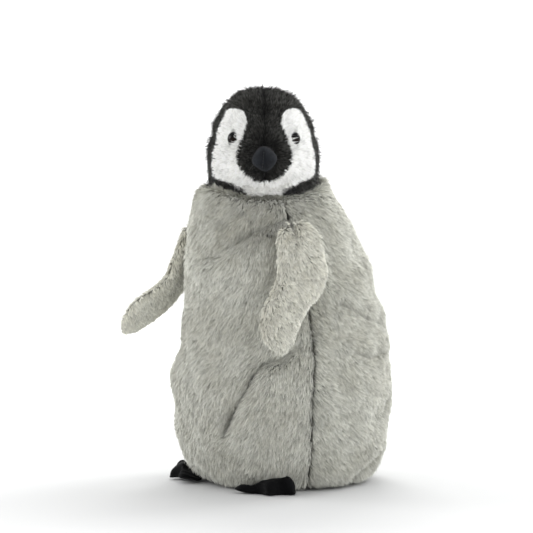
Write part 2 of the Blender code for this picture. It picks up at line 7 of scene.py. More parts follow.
import bmesh
import bpy
import numpy as np
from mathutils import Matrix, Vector

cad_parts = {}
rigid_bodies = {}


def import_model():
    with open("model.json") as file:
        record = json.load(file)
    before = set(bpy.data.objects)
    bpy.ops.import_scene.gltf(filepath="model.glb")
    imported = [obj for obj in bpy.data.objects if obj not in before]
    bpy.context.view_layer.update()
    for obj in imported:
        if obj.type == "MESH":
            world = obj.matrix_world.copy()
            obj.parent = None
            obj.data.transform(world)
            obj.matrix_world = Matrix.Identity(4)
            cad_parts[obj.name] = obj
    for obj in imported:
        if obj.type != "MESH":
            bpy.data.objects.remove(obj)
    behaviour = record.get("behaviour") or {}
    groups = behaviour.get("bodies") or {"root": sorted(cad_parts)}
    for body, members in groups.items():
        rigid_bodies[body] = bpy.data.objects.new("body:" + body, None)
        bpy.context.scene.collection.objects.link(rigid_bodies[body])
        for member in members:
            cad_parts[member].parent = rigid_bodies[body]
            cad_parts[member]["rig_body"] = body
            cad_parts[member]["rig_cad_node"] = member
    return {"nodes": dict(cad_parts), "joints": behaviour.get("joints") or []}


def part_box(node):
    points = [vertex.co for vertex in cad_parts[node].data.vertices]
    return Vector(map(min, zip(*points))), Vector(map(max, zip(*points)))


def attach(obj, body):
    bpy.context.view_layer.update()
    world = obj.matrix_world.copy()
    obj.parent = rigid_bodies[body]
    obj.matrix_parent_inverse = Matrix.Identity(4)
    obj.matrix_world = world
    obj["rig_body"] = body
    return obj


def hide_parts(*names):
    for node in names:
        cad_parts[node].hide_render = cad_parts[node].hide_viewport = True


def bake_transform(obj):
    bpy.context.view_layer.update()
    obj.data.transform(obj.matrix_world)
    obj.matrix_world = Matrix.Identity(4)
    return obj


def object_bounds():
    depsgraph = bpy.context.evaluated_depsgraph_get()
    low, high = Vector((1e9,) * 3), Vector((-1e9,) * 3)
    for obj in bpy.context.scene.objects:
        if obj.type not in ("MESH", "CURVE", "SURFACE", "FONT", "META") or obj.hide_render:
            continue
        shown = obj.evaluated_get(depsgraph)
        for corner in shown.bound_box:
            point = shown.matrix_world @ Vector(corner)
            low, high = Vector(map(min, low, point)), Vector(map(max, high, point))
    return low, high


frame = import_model()
cad_low, cad_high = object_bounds()

# ---------------------------------------------------------------- sizes, in metres
JOINTS = {joint["name"]: joint for joint in frame["joints"]}
NECK = np.array(JOINTS["head_turn"]["pos_m"])
NECK_HEIGHT = NECK[2]
NECK_FORWARD = -NECK[1]
LEAN_START = 0.130  # the height at which the body starts to lean forward to the neck
LEAN_CURVE = 1.7
GIRTH_CENTRE = 0.3  # how far the girth's middle has gone forward, as a share of the neck's
SIDE_SEAM = math.radians(64)


def middle_of(*nodes):
    """The middle of the box round some CAD nodes."""
    corners = [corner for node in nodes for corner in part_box(node)]
    return (np.min(corners, axis=0) + np.max(corners, axis=0)) / 2


BEAK = middle_of("beak_left", "beak_right")
FACE_TURN = math.atan2(BEAK[0], NECK[1] - BEAK[1])
UP = np.array((0.0, 0.0, 1.0))
FACE_SIDE = np.array((math.cos(FACE_TURN), math.sin(FACE_TURN), 0.0))
FACE_BACK = np.array((-math.sin(FACE_TURN), math.cos(FACE_TURN), 0.0))
DOME_DISTANCE = 0.0075  # from the middle of an eye's washer out to its dome


def eye_seat(hand):
    """The middle of an eye's dome, and the way that it faces."""
    washer = middle_of("eye_washer_" + hand)
    facing = middle_of("eye_" + hand) - washer
    facing /= np.linalg.norm(facing)
    return washer + facing * DOME_DISTANCE, facing


EYES = {hand: eye_seat(hand) for hand in ("left", "right")}
EYE_HEIGHT = EYES["left"][0][2]


# ---------------------------------------------------------------- camera and light
VIEW_TURN = math.radians(49)
VIEW_RISE = math.radians(3)
VIEW_DISTANCE = 2.2
VIEW_WIDTH = 0.5155
AIM_OFFSET = Vector((-0.0117, -0.0135, 0.017))
TOWARDS_VIEW = Vector(
    (
        math.sin(VIEW_TURN) * math.cos(VIEW_RISE),
        -math.cos(VIEW_TURN) * math.cos(VIEW_RISE),
        math.sin(VIEW_RISE),
    )
)
VIEW_RIGHT = Vector((math.cos(VIEW_TURN), math.sin(VIEW_TURN), 0))
AIM = Vector((0, 0, (cad_low.z + cad_high.z) / 2)) + AIM_OFFSET
CHEST_HEIGHT = 0.2
# soft boxes: metres to the view's right, away from it and up, watts, and the width of the box
BOXES = {
    "key_box": (1.75, 1.4, 1.5, 29, 0.9),
    "left_box": (-1.9, 0.7, 0.9, 15, 0.8),
    "back_box": (0, 1.2, 1.45, 17, 0.9),
}
CATCH_LIGHTS = {
    "catch_light": (0.9, -1.9, 0.7, 60, 0.42),
    "catch_light_2": (-1.1, -1.6, 0.6, 26, 0.3),
}
WORLD_LIGHT = 1.15
WORLD_GRADIENT = 0.44


def set_up_camera():
    """A long lens at the height of the toy's chest, three-quarters from its left."""
    lens = bpy.data.cameras.new("studio_camera")
    lens.angle = 2 * math.atan(VIEW_WIDTH / 2 / VIEW_DISTANCE)
    lens.clip_start = 0.05
    lens.clip_end = 60
    camera = bpy.data.objects.new("studio_camera", lens)
    camera.location = AIM + TOWARDS_VIEW * VIEW_DISTANCE
    camera.rotation_euler = (-TOWARDS_VIEW).to_track_quat("-Z", "Y").to_euler()
    bpy.context.scene.collection.objects.link(camera)
    bpy.context.scene.camera = camera


def soft_light(name, right, away, up, power, size):
    """A square soft box at this place, facing the toy's chest."""
    lamp = bpy.data.lights.new(name, "AREA")
    lamp.energy = power
    lamp.size = size
    box = bpy.data.objects.new(name, lamp)
    box.location = VIEW_RIGHT * right - TOWARDS_VIEW * away + Vector((0, 0, up))
    facing_away = box.location - Vector((0, 0, CHEST_HEIGHT))
    box.rotation_euler = facing_away.to_track_quat("Z", "Y").to_euler()
    bpy.context.scene.collection.objects.link(box)
    return box


def light_the_studio():
    """A bright tent, brighter behind and to the right, three soft boxes, and two small lamps
    that shine on the eyes alone, for the sparks in them."""
    scene = bpy.context.scene
    scene.view_settings.view_transform = "Standard"
    world = bpy.data.worlds.new("studio")
    world.use_nodes = True
    tent = Nodes(world.node_tree)
    background = world.node_tree.nodes["Background"]
    way = tent.node("ShaderNodeTexCoord")["Generated"]
    bright_side = tuple(VIEW_RIGHT * 0.75 - TOWARDS_VIEW * 0.6 + Vector((0, 0, 0.25)))
    dot = {"operation": "DOT_PRODUCT"}
    facing = tent.node("ShaderNodeVectorMath", dot, {0: way, 1: bright_side})["Value"]
    strength = facing * WORLD_GRADIENT + WORLD_LIGHT
    world.node_tree.links.new(strength.socket, background.inputs["Strength"])
    background.inputs["Color"].default_value = (1, 1, 1, 1)
    scene.world = world
    for name, settings in BOXES.items():
        soft_light(name, *settings)
    eyes = bpy.data.collections.new("eyes")
    for hand in ("left", "right"):
        eyes.objects.link(frame["nodes"]["eye_" + hand])
    for name, settings in CATCH_LIGHTS.items():
        soft_light(name, *settings).light_linking.receiver_collection = eyes


# ---------------------------------------------------------------- materials
class Value:
    """A shader socket that Python's arithmetic works on."""

    def __init__(self, finish, socket):
        self.finish = finish
        self.socket = socket

    def _math(self, operation, first, second=None):
        links = {0: first}
        if second is not None:
            links[1] = second
        return self.finish.node("ShaderNodeMath", {"operation": operation}, links)["Value"]

    def __add__(self, other):
        return self._math("ADD", self, other)

    def __radd__(self, other):
        return self._math("ADD", other, self)

    def __sub__(self, other):
        return self._math("SUBTRACT", self, other)

    def __rsub__(self, other):
        return self._math("SUBTRACT", other, self)

    def __mul__(self, other):
        return self._math("MULTIPLY", self, other)

    def smooth(self, low, high):
        """0 below low, 1 above high, and a soft step between them."""
        return self.finish.node(
            "ShaderNodeMapRange",
            {"interpolation_type": "SMOOTHSTEP"},
            {"Value": self, "From Min": low, "From Max": high},
        )["Result"]


class Nodes:
    """Adds nodes to one tree."""

    def __init__(self, tree):
        self.tree = tree

    def node(self, kind, settings=None, links=None):
        """Adds a node, with its settings first and then its values and links; gives its outputs."""
        made = self.tree.nodes.new(kind)
        for setting, value in (settings or {}).items():
            setattr(made, setting, value)
        for socket, value in (links or {}).items():
            if isinstance(value, Value):
                self.tree.links.new(value.socket, made.inputs[socket])
            else:
                made.inputs[socket].default_value = value
        return {output.name: Value(self, output) for output in made.outputs if output.enabled}

    def noise(self, scale, detail=2.0, roughness=0.5):
        """Cloudy variation from about 0 to 1, this many patches to the metre."""
        links = {"Vector": self.place, "Scale": scale, "Detail": detail, "Roughness": roughness}
        return self.node("ShaderNodeTexNoise", None, links)["Fac"]

    def attribute(self, name, output="Fac"):
        """A value stored on the piece's points."""
        return self.node("ShaderNodeAttribute", {"attribute_name": name})[output]

    def split(self, vector):
        """The three numbers of a vector."""
        parts = self.node("ShaderNodeSeparateXYZ", None, {"Vector": vector})
        return parts["X"], parts["Y"], parts["Z"]

    def dimmed(self, colour, tone):
        """A colour times a number."""
        settings = {"operation": "MULTIPLY"}
        return self.node("ShaderNodeVectorMath", settings, {0: colour, 1: tone})["Vector"]

    def blend(self, factor, first, second):
        """One colour turning into another."""
        links = {0: factor, 6: first, 7: second}
        for socket in (6, 7):
            if not isinstance(links[socket], Value):
                links[socket] = (*links[socket], 1)
        return self.node("ShaderNodeMix", {"data_type": "RGBA"}, links)["Result"]

    def bump(self, height, strength, depth):
        """A normal that follows a height, this many metres deep."""
        links = {"Height": height, "Strength": strength, "Distance": depth}
        return self.node("ShaderNodeBump", None, links)["Normal"]


class Finish(Nodes):
    """One material: its Principled shader and the nodes that feed it."""

    def __init__(self, name, **constants):
        self.material = bpy.data.materials.new(name)
        self.material.use_nodes = True
        super().__init__(self.material.node_tree)
        self.shader = self.tree.nodes["Principled BSDF"]
        for socket, value in constants.items():
            self.shader.inputs[socket.replace("_", " ")].default_value = value
        self.place = self.node("ShaderNodeTexCoord")["Object"]

    def feed(self, socket, value):
        """Links a value to one of the shader's sockets."""
        self.tree.links.new(value.socket, self.shader.inputs[socket])


def pile_finish(name, root, middle, tip, warm, patches=0.5, sheen=0.35, odd_range=0.30):
    """Polyester pile: darker at the roots as painted shade deep in the pile, paler at the tips, with
    cloudy patches and odd hairs.
    """
    finish = Finish(name, Sheen_Weight=sheen, Sheen_Roughness=0.45, Specular_IOR_Level=0.25)
    along, odd, lock = finish.split(finish.attribute("hair", "Vector"))
    lower = finish.blend(along.smooth(0.0, 0.55), root, middle)
    colour = finish.blend(along.smooth(0.45, 1.0), lower, tip)
    clouds = finish.noise(26, 3, 0.55)
    flecks = finish.noise(170, 2, 0.6)
    _, back, height = finish.split(finish.place)
    chest = height.smooth(0.185, 0.235) * (1 - back.smooth(-0.075, -0.045))
    shown = (chest * 0.7 + 1) * patches
    patch = (clouds.smooth(0.38, 0.68) * 0.6 + flecks.smooth(0.35, 0.7) * 0.4) * shown
    colour = finish.blend(patch, colour, warm)
    tone = odd * odd_range + lock * (odd_range * 0.8) + (1 - odd_range * 0.9)
    # the depth attribute multiplies in painted shade (below 1) and painted highlight (above 1)
    finish.feed("Base Color", finish.dimmed(colour, tone * finish.attribute("depth")))
    finish.feed("Roughness", 0.68 + flecks * 0.2)
    return finish.material


UNDYED = (0.80, 0.80, 0.78)


def cover_finish(name, shade, light):
    """The knitted backing under a pile: fine ribs and cloudy dye, seen only where the pile parts."""
    finish = Finish(name, Sheen_Weight=0.3, Sheen_Roughness=0.5)
    clouds = finish.noise(60, 4, 0.6)
    knit = finish.noise(900, 2, 0.7)
    colour = finish.blend(clouds * 0.6 + knit * 0.4, shade, light)
    finish.feed("Base Color", finish.blend(finish.attribute("undyed"), colour, UNDYED))
    finish.feed("Roughness", 0.8 + knit * 0.15)
    finish.feed("Normal", finish.bump(knit + clouds * 0.5, 0.7, 0.0012))
    return finish.material


def suede_finish(name, shade, light, scuff):
    """Short brushed nap: fine grain, cloudy brushing marks and a paler bloom on them."""
    finish = Finish(name, Sheen_Weight=0.03, Sheen_Roughness=0.4, Specular_IOR_Level=0.12)
    brushing = finish.noise(90, 4, 0.65)
    nap = finish.noise(1400, 3, 0.75)
    colour = finish.blend(brushing.smooth(0.35, 0.7), shade, light)
    colour = finish.blend(nap.smooth(0.52, 0.8) * 0.5, colour, scuff)
    finish.feed("Base Color", colour)
    finish.feed("Roughness", 0.72 + nap * 0.25)
    finish.feed("Normal", finish.bump(nap + brushing * 0.6, 0.8, 0.0006))
    return finish.material


def thread_finish(name, shade, light):
    """Twisted sewing thread, a little shiny on its strands."""
    finish = Finish(name)
    strands = finish.noise(2600, 2, 0.6)
    finish.feed("Base Color", finish.blend(strands, shade, light))
    finish.feed("Roughness", 0.45 + strands * 0.3)
    finish.feed("Normal", finish.bump(strands, 0.5, 0.0002))
    return finish.material


def plastic_finish(name, shade, light):
    """Moulded washers: a faint mottle and a fine spark texture."""
    finish = Finish(name)
    mottle = finish.noise(220, 3, 0.6)
    finish.feed("Base Color", finish.blend(mottle, shade, light))
    finish.feed("Roughness", 0.45 + mottle * 0.12)
    finish.feed("Normal", finish.bump(finish.noise(1800, 2, 0.5), 0.3, 0.0002))
    return finish.material


def woven_finish(name, shade, light):
    """Plain calico: crossing threads with slubs."""
    finish = Finish(name, Sheen_Weight=0.15)
    threads = {"Vector": finish.place, "Scale": 320.0}
    warp = finish.node("ShaderNodeTexWave", {"bands_direction": "X"}, threads)["Fac"]
    weft = finish.node("ShaderNodeTexWave", {"bands_direction": "Z"}, threads)["Fac"]
    slub = finish.noise(300, 3, 0.6)
    finish.feed("Base Color", finish.blend(warp * weft * 0.6 + slub * 0.4, shade, light))
    finish.feed("Roughness", 0.85 + slub * 0.1)
    finish.feed("Normal", finish.bump(warp + weft, 0.6, 0.0004))
    return finish.material


def eye_finish(name):
    """Black gloss with a deep brown glow low in the dome, and the faintest moulding ripple."""
    finish = Finish(name, Specular_IOR_Level=0.10, IOR=1.4)
    _, _, height = finish.split(finish.place)
    glow = 1 - (height - (EYE_HEIGHT - 0.0035)).smooth(0.0, 0.0045)
    cloud = finish.noise(420, 2, 0.5)
    colour = finish.blend(glow * (0.55 + cloud * 0.4), (0.0008, 0.0008, 0.001), (0.005, 0.003, 0.002))
    finish.feed("Base Color", colour)
    finish.feed("Roughness", 0.05 + cloud * 0.04)
    return finish.material


GREY_PILE = pile_finish(
    "grey_pile", (0.25, 0.245, 0.20), (0.56, 0.562, 0.50), (0.80, 0.805, 0.745), (0.43, 0.42, 0.35)
)
CREAM_PILE = pile_finish(
    "cream_pile", (0.38, 0.37, 0.31), (0.67, 0.665, 0.59), (0.86, 0.86, 0.79), (0.54, 0.52, 0.43)
)
# the black pile's pale tips and sparse bright strands are painted highlights
BLACK_PILE = pile_finish(
    "black_pile",
    (0.0008, 0.0008, 0.0009),
    (0.0048, 0.0048, 0.0046),
    (0.105, 0.106, 0.098),
    (0.016, 0.014, 0.011),
    sheen=0.03,
    odd_range=1.0,
)
WHITE_PILE = pile_finish(
    "white_pile", (0.86, 0.86, 0.83), (0.96, 0.965, 0.95), (0.985, 0.985, 0.98), (0.92, 0.92, 0.89)
)
# the grey backing is darker than the pile: painted shade between the hairs
GREY_COVER = cover_finish("grey_backing", (0.12, 0.12, 0.10), (0.26, 0.26, 0.22))
BLACK_COVER = cover_finish("black_backing", (0.004, 0.004, 0.005), (0.014, 0.014, 0.015))
BEAK_SUEDE = suede_finish(
    "beak_suede", (0.006, 0.007, 0.009), (0.013, 0.015, 0.019), (0.030, 0.034, 0.041)
)
FOOT_FELT = suede_finish(
    "foot_felt", (0.0012, 0.0013, 0.0016), (0.0028, 0.003, 0.0036), (0.008, 0.0085, 0.010)
)
BLACK_THREAD = thread_finish("black_thread", (0.0008, 0.0008, 0.001), (0.004, 0.004, 0.005))
WASHER_PLASTIC = plastic_finish("washer_plastic", (0.60, 0.60, 0.58), (0.72, 0.72, 0.70))
CALICO = woven_finish("pouch_calico", (0.52, 0.48, 0.40), (0.72, 0.68, 0.58))
EYE_GLOSS = eye_finish("eye_gloss")


# ---------------------------------------------------------------- hand tools
def only(*objects):
    """Selects just these, the last one active."""
    for item in bpy.context.view_layer.objects:
        item.select_set(False)
    for item in objects:
        item.select_set(True)
    bpy.context.view_layer.objects.active = objects[-1]


def apply(piece, kind, name, **settings):
    """Adds a modifier, sets it and applies it."""
    only(piece)
    modifier = piece.modifiers.new(name, kind)
    for setting, value in settings.items():
        setattr(modifier, setting, value)
    bpy.ops.object.modifier_apply(modifier=name)


def points_of(mesh):
    """A mesh's points as rows of three."""
    rows = np.empty(len(mesh.vertices) * 3, np.float32)
    mesh.vertices.foreach_get("co", rows)
    return rows.reshape(-1, 3).astype(float)


def normals_of(mesh):
    """The way each point of a mesh faces."""
    rows = np.empty(len(mesh.vertices) * 3, np.float32)
    mesh.vertex_normals.foreach_get("vector", rows)
    return rows.reshape(-1, 3).astype(float)


def move_points(piece, points):
    """Puts a piece's points at these rows of three."""
    piece.data.vertices.foreach_set("co", np.ascontiguousarray(points, np.float32).ravel())
    piece.data.update()


def reshape(piece, shape, *settings):
    """Moves a cover's points to where a shaping function puts them."""
    mesh = piece.data
    move_points(piece, shape(points_of(mesh), normals_of(mesh), *settings))


def finish_piece(piece, material, body):
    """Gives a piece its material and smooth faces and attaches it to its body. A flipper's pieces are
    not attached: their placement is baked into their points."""
    piece.data.materials.clear()
    piece.data.materials.append(material)
    piece.data.shade_smooth()
    if body.startswith("flipper"):
        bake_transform(piece)
    else:
        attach(piece, body)


def smooth_noise(points, size, seed, waves=14):
    """A soft random field, about -1 to 1, with lumps of this size."""
    rng = np.random.default_rng(seed)
    total = np.zeros(len(points))
    for _ in range(waves):
        way = rng.normal(size=3)
        way *= rng.uniform(0.6, 1.5) / np.linalg.norm(way) * math.tau / size
        total += np.sin(points @ way + rng.uniform(0, math.tau))
    return total / math.sqrt(waves / 2) / 1.6


def unit(rows):
    """Each row at length 1."""
    return rows / np.maximum(np.linalg.norm(rows, axis=1, keepdims=True), 1e-12)


def flat_on(rows, out):
    """The part of each direction that lies in the surface."""
    return unit(rows - out * np.sum(rows * out, axis=1, keepdims=True))


def near(values, middle, spread):
    """A soft hump of height 1 at the middle."""
    return np.exp(-(((values - middle) / spread) ** 2))


# ---------------------------------------------------------------- the toy's own coordinates
def round_the_body(points):
    """Angle round from the chest, positive to the toy's left."""
    rise = np.clip((points[:, 2] - LEAN_START) / (NECK_HEIGHT - LEAN_START), 0, 1)
    middle = -NECK_FORWARD * rise**LEAN_CURVE
    return np.arctan2(points[:, 0], middle - points[:, 1])


def girth_at(points):
    """Distance out from the middle of the body's girth."""
    return np.hypot(points[:, 0], points[:, 1] + NECK_FORWARD * GIRTH_CENTRE)


def on_the_face(points):
    """Across the face, out from it and up from the neck."""
    away = points - NECK
    return away @ FACE_SIDE, -(away @ FACE_BACK), away[:, 2]


def along_a_crease(points, line):
    """Each point's distance from a crease given in degrees round and millimetres up, and which
    side of it the point is on."""
    angle = round_the_body(points)
    girth = girth_at(points)
    best = np.full(len(points), 1.0)
    side = np.zeros(len(points))
    for (a0, z0), (a1, z1) in zip(line[:-1], line[1:]):
        start = np.array((math.radians(a0), z0 / 1000))
        end = np.array((math.radians(a1), z1 / 1000))
        px = (angle - start[0]) * girth
        py = points[:, 2] - start[1]
        ex = (end[0] - start[0]) * girth
        ey = end[1] - start[1]
        share = np.clip((px * ex + py * ey) / np.maximum(ex * ex + ey * ey, 1e-9), 0, 1)
        gap = np.hypot(px - share * ex, py - share * ey)
        turn = np.sign(ex * py - ey * px)
        closer = gap < best
        best = np.where(closer, gap, best)
        side = np.where(closer, turn, side)
    return best, side


# half widths of the face's markings, across the face, against the height above the neck
WHITE_OUTSIDE = (
    (-0.0120, 0.0150),
    (-0.0035, 0.0170),
    (0.0008, 0.0260),
    (0.0062, 0.0343),
    (0.0090, 0.0440),
    (0.0120, 0.0480),
    (0.0215, 0.0490),
    (0.0337, 0.0480),
    (0.0424, 0.0450),
    (0.0527, 0.0440),
    (0.0634, 0.0398),
    (0.0730, 0.0350),
    (0.0752, 0.0310),
)
WHITE_INSIDE = (
    (0.0062, 0.0),
    (0.0079, 0.0095),
    (0.0121, 0.0165),
    (0.0174, 0.0215),
    (0.0234, 0.0250),
    (0.0319, 0.0260),
    (0.0406, 0.0240),
    (0.0474, 0.0210),
    (0.0544, 0.0180),
    (0.0615, 0.0155),
    (0.0727, 0.0185),
    (0.0760, 0.0290),
)


def white_patch(place):
    """True on the white half masks at each side of the stripe and muzzle."""
    across, out, up = on_the_face(place)
    wide = np.abs(across)
    outside = np.interp(up, *zip(*WHITE_OUTSIDE), left=0, right=0)
    inside = np.interp(up, *zip(*WHITE_INSIDE), right=1)
    return (wide < outside) & (wide > inside) & (out > 0.002)


# ---------------------------------------------------------------- stuffed covers
PRESSURE = 4.0
CLOTH_FRAMES = 20
INSET_STEPS = 4


def stuffed(name, nodes, voxel, inset, most, seams=None, smoothing=2):
    """A sewn cover over its filling: the CAD pieces' outside drawn in, then swelled by pressure
    between the seams, which hold it down. No point moves further than most."""
    copies = []
    for node in nodes:
        copy = frame["nodes"][node].copy()
        copy.data = copy.data.copy()
        copy.parent = None
        copy.hide_viewport = False
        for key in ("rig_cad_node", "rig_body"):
            if key in copy:
                del copy[key]
        bpy.context.scene.collection.objects.link(copy)
        copies.append(copy)
    only(*copies)
    bpy.ops.object.join()
    piece = bpy.context.view_layer.objects.active
    piece.name = name
    piece.data.name = name
    apply(piece, "REMESH", "mesh_over", mode="VOXEL", voxel_size=voxel)
    keep_outside(piece)
    step = inset / INSET_STEPS
    for _ in range(INSET_STEPS):
        move_points(piece, points_of(piece.data) - normals_of(piece.data) * step)
        apply(piece, "SMOOTH", "even", factor=0.5, iterations=smoothing)
    swell(piece, most, seams)
    apply(piece, "SUBSURF", "round", levels=1, render_levels=1)
    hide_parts(*nodes)
    return piece


def keep_outside(piece):
    """Deletes what the remesh left inside, keeping the largest closed shell."""
    mesh = bmesh.new()
    mesh.from_mesh(piece.data)
    left = set(mesh.verts)
    shells = []
    while left:
        start = left.pop()
        shell, reached = [start], [start]
        while reached:
            for edge in reached.pop().link_edges:
                for point in edge.verts:
                    if point in left:
                        left.discard(point)
                        shell.append(point)
                        reached.append(point)
        shells.append(shell)
    shells.sort(key=len)
    for shell in shells[:-1]:
        bmesh.ops.delete(mesh, geom=shell, context="VERTS")
    mesh.to_mesh(piece.data)
    mesh.free()


def swell(piece, most, seams):
    """Blender's cloth, with pressure inside, for twenty frames."""
    start = points_of(piece.data)
    if seams is not None:
        group = piece.vertex_groups.new(name="seams")
        for index in np.nonzero(seams(start))[0]:
            group.add([int(index)], 1.0, "REPLACE")
    only(piece)
    bpy.ops.object.modifier_add(type="CLOTH")
    cloth = piece.modifiers[-1]
    cloth.settings.quality = 5
    cloth.settings.mass = 0.3
    cloth.settings.use_pressure = True
    cloth.settings.uniform_pressure_force = PRESSURE
    cloth.settings.effector_weights.gravity = 0
    cloth.point_cache.frame_start = 1
    cloth.point_cache.frame_end = CLOTH_FRAMES
    if seams is not None:
        cloth.settings.vertex_group_mass = "seams"
    for moment in range(1, CLOTH_FRAMES + 1):
        bpy.context.scene.frame_set(moment)
    shaped = piece.evaluated_get(bpy.context.evaluated_depsgraph_get())
    end = points_of(shaped.to_mesh())
    shaped.to_mesh_clear()
    piece.modifiers.remove(cloth)
    bpy.context.scene.frame_set(1)
    moved = end - start
    far = np.linalg.norm(moved, axis=1, keepdims=True)
    move_points(piece, start + moved * np.minimum(1, most / np.maximum(far, 1e-9)))


# creases of the body, as (degrees round from the chest, millimetres up)
BELLY_FOLD = ((58, 138), (47, 127), (37, 122), (31, 109), (27, 94), (24, 87), (20, 73), (17, 61))
CHEST_FOLD = ((66, 257), (35, 243), (18, 229), (9, 222), (-3, 218))
THIGH_FOLD = ((-9, 92), (4, 91))
PARTED_PATCH = ((20, 74), (17, 66), (15, 55))
BACK_FOLDS = (
    ((85, 178), (104, 164), (133, 151)),
    ((91, 130), (105, 124), (124, 127)),
    ((100, 12), (108, 20), (122, 30)),
    ((140, 104), (128, 78)),
)


def body_seams(points):
    """Rings and side seams that hold the body's cover in."""
    angle = round_the_body(points)
    girth = np.hypot(points[:, 0], points[:, 1])
    side = np.abs(np.abs(angle) - SIDE_SEAM) * girth
    centre_back = (math.pi - np.abs(angle)) * girth
    base = np.abs(points[:, 2] - points[:, 2].min()) < 0.006
    return (side < 0.004) | (centre_back < 0.003) | base | (points[:, 2] > 0.272)


# soft dents in the body: degrees round from the chest, height, reach round, reach up and depth,
# which is below zero where the filling swells the body out
DENTS = (
    (92, 0.205, 0.020, 0.012, 0.0050),
    (120, 0.222, 0.018, 0.012, 0.0040),
    (96, 0.150, 0.022, 0.010, 0.0045),
    (84, 0.066, 0.018, 0.012, 0.0035),
    (112, 0.062, 0.024, 0.014, 0.0040),
    (150, 0.180, 0.026, 0.014, 0.0040),
    (168, 0.110, 0.020, 0.016, 0.0030),
    (-96, 0.190, 0.022, 0.012, 0.0040),
    (-124, 0.140, 0.022, 0.014, 0.0045),
    (-104, 0.070, 0.022, 0.012, 0.0035),
    (-45, 0.128, 0.020, 0.009, 0.0030),
    (-160, 0.210, 0.020, 0.013, 0.0035),
    (-62, 0.098, 0.024, 0.020, -0.0060),
    (-43, 0.104, 0.034, 0.028, -0.0062),
    (-43, 0.276, 0.040, 0.014, 0.0060),
    (139, 0.080, 0.050, 0.030, 0.0030),
    (-43, 0.048, 0.045, 0.026, -0.0052),
    (-43, 0.004, 0.045, 0.010, 0.0045),
)


def crease_the_body(points, normals):
    """Pulls the seams in, lets the belly hang over its fold and dents the back."""
    angle, girth, height = round_the_body(points), girth_at(points), points[:, 2]
    side = (np.abs(angle) - SIDE_SEAM) * girth
    low = 1 - 0.5 * np.clip((height - 0.05) / 0.2, 0, 1)
    push = -0.0050 * low * np.exp(-np.abs(side) / 0.0055)
    centre_back = (math.pi - np.abs(angle)) * girth
    push -= 0.0035 * np.exp(-np.abs(centre_back) / 0.006)
    gap, over = along_a_crease(points, BELLY_FOLD)
    deep = np.clip((0.135 - height) / 0.02, 0.35, 1)
    push -= 0.0120 * near(gap, 0, 0.0034) * deep
    push += 0.0045 * near(gap, 0.012, 0.011) * (over > 0)
    gap, over = along_a_crease(points, CHEST_FOLD)
    push -= 0.0046 * near(gap, 0, 0.006)
    push += 0.0030 * near(gap, 0.012, 0.010) * (over > 0)
    for line in BACK_FOLDS:
        gap, over = along_a_crease(points, line)
        push += 0.0022 * near(gap, 0.009, 0.008) * (over > 0) - 0.0034 * near(gap, 0, 0.0055)
    gap, _ = along_a_crease(points, PARTED_PATCH)
    push -= 0.0040 * near(gap, 0, 0.0045)
    gap, _ = along_a_crease(points, THIGH_FOLD)
    push -= 0.0030 * near(gap, 0, 0.007)
    for degrees, up, wide, tall, deep in DENTS:
        round_to = np.angle(np.exp(1j * (angle - math.radians(degrees)))) * girth
        push -= deep * near(round_to, 0, wide) * near(height, up, tall)
    push += 0.0011 * smooth_noise(points, 0.034, 5)
    push *= np.clip(height / 0.012, 0, 1)
    return raise_the_collar(points + normals * push[:, None])


CHIN_DROP = 0.0075  # how far the chin hangs below the neck's seam


def raise_the_collar(points):
    """Carries the body's top up to the neck, and the collar up round the back of the head and at
    the toy's right breast, and lets the front down under the chin."""
    made = points.copy()
    top = points[:, 2].max()
    share = np.clip((points[:, 2] - 0.235) / (top - 0.235), 0, 1)
    made[:, 2] += share**1.5 * (NECK_HEIGHT - 0.0005 - top)
    away = points - NECK
    gap = np.hypot(away[:, 0], away[:, 1])
    behind = np.clip(0.75 + (away @ FACE_BACK) / np.maximum(gap, 1e-6), 0, 1)
    made[:, 2] += 0.0095 * near(gap, 0.0575, 0.0075) * behind * share
    right_breast = np.clip(-(away @ np.array(VIEW_RIGHT)) / np.maximum(gap, 1e-6), 0, 1) ** 2
    made[:, 2] += 0.0100 * near(gap, 0.064, 0.009) * right_breast * share
    front = np.clip(0.25 - (away @ FACE_BACK) / np.maximum(gap, 1e-6), 0, 1)
    made[:, 2] -= (CHIN_DROP + 0.002) * front * share**3 * (1 - right_breast)
    return made


def shape_the_head(points, normals):
    """Draws in the face's seams and the crown seams, and the sockets round the eyes."""
    across, out, up = on_the_face(points)
    push = np.zeros(len(points))
    front = np.clip(out / 0.02, 0, 1)
    push -= 0.0034 * np.exp(-np.abs(across) / 0.0035) * front * (up > 0.04)
    crown = np.abs(up - (0.083 - 0.35 * np.maximum(np.abs(across) - 0.030, 0)))
    push -= 0.0018 * near(crown, 0, 0.003) * (np.abs(across) > 0.028)
    for seat, _ in EYES.values():
        push -= 0.0014 * near(np.linalg.norm(points - seat, axis=1), 0, 0.010)
    push += 0.0006 * smooth_noise(points, 0.02, 8)
    temple = np.clip((up - 0.030) / 0.02, 0, 1) * np.clip((np.abs(across) - 0.022) / 0.02, 0, 1)
    push -= 0.0026 * temple
    made = points + normals * push[:, None]
    low = np.clip((0.030 - up) / (0.030 - up.min()), 0, 1)
    made[:, 2] -= low**1.4 * (made[:, 2].min() - NECK_HEIGHT + 0.001)
    made[:, 2] -= CHIN_DROP * low**2 * np.clip(out / 0.03, 0, 1)
    return made


BEAK_DROP = 0.0034  # the suede hangs this far below its CAD place
STITCHES = 6
STITCH_GAP = 0.0025
STITCH_SIZE = 0.0009


